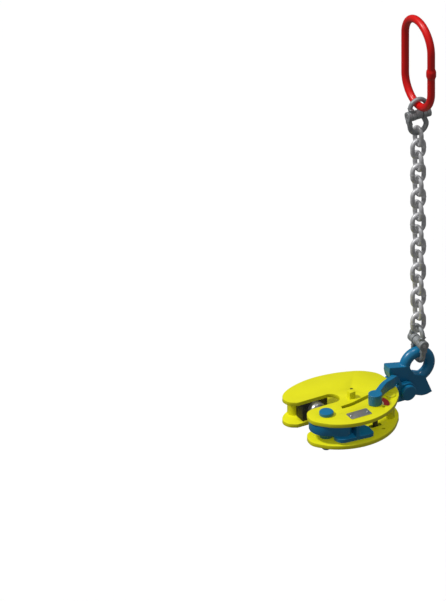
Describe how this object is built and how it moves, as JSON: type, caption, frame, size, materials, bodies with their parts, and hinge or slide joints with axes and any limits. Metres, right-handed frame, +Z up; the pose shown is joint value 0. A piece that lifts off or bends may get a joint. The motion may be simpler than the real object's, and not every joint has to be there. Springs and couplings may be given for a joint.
{
  "type": "plate lifting clamp",
  "caption": "Universal plate lifting clamp: a cam and a fixed jaw in a throat between side plates, drawn shut by a yoke and eye on a chain sling with a master link.",
  "frame": {"origin": "seat of the crane hook, inside the top of the master link, on the chain's line", "axes": "+X from the clamp's mouth towards its lifting eye, +Y from the cam towards the fixed jaw, +Z up the chain"},
  "size_m": [0.2765, 0.171, 0.7468],
  "materials": {
    "red_paint": "gloss enamel",
    "forged_steel": "forged, oiled",
    "chain_steel": "bright tumbled",
    "blue_paint": "gloss enamel over forging",
    "yellow_paint": "satin enamel",
    "dark_steel": "blackened, hardened",
    "plain_label": "blank satin plate",
    "rivet_aluminium": "satin"
  },
  "bodies": {
    "master_link": {"master_link": "red_paint"},
    "top_coupler_upper": {"top_coupler_upper_half": "forged_steel", "top_coupler_pin": "forged_steel", "top_coupler_sleeve": "forged_steel"},
    "top_coupler_lower": {"top_coupler_lower_half": "forged_steel"},
    "chain_link_01": {"chain_link_01": "chain_steel"},
    "chain_link_02": {"chain_link_02": "chain_steel"},
    "chain_link_03": {"chain_link_03": "chain_steel"},
    "chain_link_04": {"chain_link_04": "chain_steel"},
    "chain_link_05": {"chain_link_05": "chain_steel"},
    "chain_link_06": {"chain_link_06": "chain_steel"},
    "chain_link_07": {"chain_link_07": "chain_steel"},
    "chain_link_08": {"chain_link_08": "chain_steel"},
    "chain_link_09": {"chain_link_09": "chain_steel"},
    "chain_link_10": {"chain_link_10": "chain_steel"},
    "chain_link_11": {"chain_link_11": "chain_steel"},
    "chain_link_12": {"chain_link_12": "chain_steel"},
    "chain_link_13": {"chain_link_13": "chain_steel"},
    "chain_link_14": {"chain_link_14": "chain_steel"},
    "chain_link_15": {"chain_link_15": "chain_steel"},
    "chain_link_16": {"chain_link_16": "chain_steel"},
    "bottom_coupler_upper": {"bottom_coupler_upper_half": "forged_steel", "bottom_coupler_pin": "forged_steel", "bottom_coupler_sleeve": "forged_steel"},
    "bottom_coupler_lower": {"bottom_coupler_lower_half": "forged_steel"},
    "eye": {"lifting_eye": "blue_paint"},
    "yoke": {"yoke": "blue_paint", "eye_pin": "blue_paint", "eye_pin_ring": "dark_steel"},
    "draw_pin": {"draw_pin": "dark_steel", "draw_pin_ring": "dark_steel"},
    "clamp_body": {"side_plate_upper": "yellow_paint", "side_plate_lower": "yellow_paint", "rear_spacer": "yellow_paint", "jaw_spacer": "yellow_paint", "back_spacer": "yellow_paint", "stop_bar": "yellow_paint", "cam_pin": "blue_paint", "cam_pin_ring": "dark_steel", "jaw_pad": "dark_steel", "jaw_block": "dark_steel", "jaw_screw": "dark_steel", "label_plate": "plain_label", "label_rivet_1": "rivet_aluminium", "label_rivet_2": "rivet_aluminium"},
    "cam": {"cam_jaw": "blue_paint", "cam_spring": "dark_steel"},
    "link": {"draw_link": "blue_paint", "link_pin": "dark_steel"},
    "lock": {"lock_lever": "red_paint", "lock_shaft": "dark_steel"}
  },
  "joints": [
    {"name": "top_coupler_swing", "type": "hinge", "parent": "master_link", "child": "top_coupler_upper", "pos_m": [0, 0, -0.1557], "axis": [0, 1, 0], "range_deg": [-60, 60]},
    {"name": "top_coupler_fold", "type": "hinge", "parent": "top_coupler_upper", "child": "top_coupler_lower", "pos_m": [0, 0, -0.1736], "axis": [1, 0, 0], "range_deg": [-60, 60]},
    {"name": "chain_joint_01", "type": "hinge", "parent": "top_coupler_lower", "child": "chain_link_01", "pos_m": [0, 0, -0.2089], "axis": [-1, 0, 0], "range_deg": [-35, 35]},
    {"name": "chain_joint_02", "type": "hinge", "parent": "chain_link_01", "child": "chain_link_02", "pos_m": [0, 0, -0.23215], "axis": [0, -1, 0], "range_deg": [-35, 35]},
    {"name": "chain_joint_03", "type": "hinge", "parent": "chain_link_02", "child": "chain_link_03", "pos_m": [0, 0, -0.25615], "axis": [1, 0, 0], "range_deg": [-35, 35]},
    {"name": "chain_joint_04", "type": "hinge", "parent": "chain_link_03", "child": "chain_link_04", "pos_m": [0, 0, -0.28015], "axis": [0, 1, 0], "range_deg": [-35, 35]},
    {"name": "chain_joint_05", "type": "hinge", "parent": "chain_link_04", "child": "chain_link_05", "pos_m": [0, 0, -0.30415], "axis": [-1, 0, 0], "range_deg": [-35, 35]},
    {"name": "chain_joint_06", "type": "hinge", "parent": "chain_link_05", "child": "chain_link_06", "pos_m": [0, 0, -0.32815], "axis": [0, -1, 0], "range_deg": [-35, 35]},
    {"name": "chain_joint_07", "type": "hinge", "parent": "chain_link_06", "child": "chain_link_07", "pos_m": [0, 0, -0.35215], "axis": [1, 0, 0], "range_deg": [-35, 35]},
    {"name": "chain_joint_08", "type": "hinge", "parent": "chain_link_07", "child": "chain_link_08", "pos_m": [0, 0, -0.37615], "axis": [0, 1, 0], "range_deg": [-35, 35]},
    {"name": "chain_joint_09", "type": "hinge", "parent": "chain_link_08", "child": "chain_link_09", "pos_m": [0, 0, -0.40015], "axis": [-1, 0, 0], "range_deg": [-35, 35]},
    {"name": "chain_joint_10", "type": "hinge", "parent": "chain_link_09", "child": "chain_link_10", "pos_m": [0, 0, -0.42415], "axis": [0, -1, 0], "range_deg": [-35, 35]},
    {"name": "chain_joint_11", "type": "hinge", "parent": "chain_link_10", "child": "chain_link_11", "pos_m": [0, 0, -0.44815], "axis": [1, 0, 0], "range_deg": [-35, 35]},
    {"name": "chain_joint_12", "type": "hinge", "parent": "chain_link_11", "child": "chain_link_12", "pos_m": [0, 0, -0.47215], "axis": [0, 1, 0], "range_deg": [-35, 35]},
    {"name": "chain_joint_13", "type": "hinge", "parent": "chain_link_12", "child": "chain_link_13", "pos_m": [0, 0, -0.49615], "axis": [-1, 0, 0], "range_deg": [-35, 35]},
    {"name": "chain_joint_14", "type": "hinge", "parent": "chain_link_13", "child": "chain_link_14", "pos_m": [0, 0, -0.52015], "axis": [0, -1, 0], "range_deg": [-35, 35]},
    {"name": "chain_joint_15", "type": "hinge", "parent": "chain_link_14", "child": "chain_link_15", "pos_m": [0, 0, -0.54415], "axis": [1, 0, 0], "range_deg": [-35, 35]},
    {"name": "chain_joint_16", "type": "hinge", "parent": "chain_link_15", "child": "chain_link_16", "pos_m": [0, 0, -0.56815], "axis": [0, 1, 0], "range_deg": [-35, 35]},
    {"name": "bottom_coupler_swing", "type": "hinge", "parent": "chain_link_16", "child": "bottom_coupler_upper", "pos_m": [0, 0, -0.59215], "axis": [-1, 0, 0], "range_deg": [-60, 60]},
    {"name": "bottom_coupler_fold", "type": "hinge", "parent": "bottom_coupler_upper", "child": "bottom_coupler_lower", "pos_m": [0, 0, -0.6129], "axis": [0, -1, 0], "range_deg": [-60, 60]},
    {"name": "eye_swing", "type": "hinge", "parent": "bottom_coupler_lower", "child": "eye", "pos_m": [0, 0, -0.6482], "axis": [0, 1, 0], "range_deg": [-35, 35]},
    {"name": "eye_pivot", "type": "hinge", "parent": "eye", "child": "yoke", "pos_m": [-0.032, 0, -0.6923], "axis": [0, 1, 0], "range_deg": [-78, 1]},
    {"name": "yoke_swing", "type": "hinge", "parent": "yoke", "child": "draw_pin", "pos_m": [-0.1201, -0.0638, -0.6923], "axis": [0, 0, 1], "range_deg": [0, 70]},
    {"name": "draw_slide", "type": "slide", "parent": "draw_pin", "child": "clamp_body", "axis": [-1, 0, 0], "range_m": [0, 0.0068]},
    {"name": "cam_turn", "type": "hinge", "parent": "clamp_body", "child": "cam", "pos_m": [-0.2089, -0.0537, -0.6923], "axis": [0, 0, 1], "range_deg": [0, 13]},
    {"name": "link_turn", "type": "hinge", "parent": "draw_pin", "child": "link", "pos_m": [-0.1201, -0.0638, -0.6923], "axis": [0, 0, 1], "range_deg": [-3.3, 0]},
    {"name": "lock_turn", "type": "hinge", "parent": "clamp_body", "child": "lock", "pos_m": [-0.1289, 0, -0.6923], "axis": [0, 0, 1], "range_deg": [0, 40]}
  ],
  "couplings": [
    {"joint": "cam_turn", "follows": "draw_slide", "rad_per_m": 32.8},
    {"joint": "link_turn", "follows": "draw_slide", "rad_per_m": -8}
  ]
}
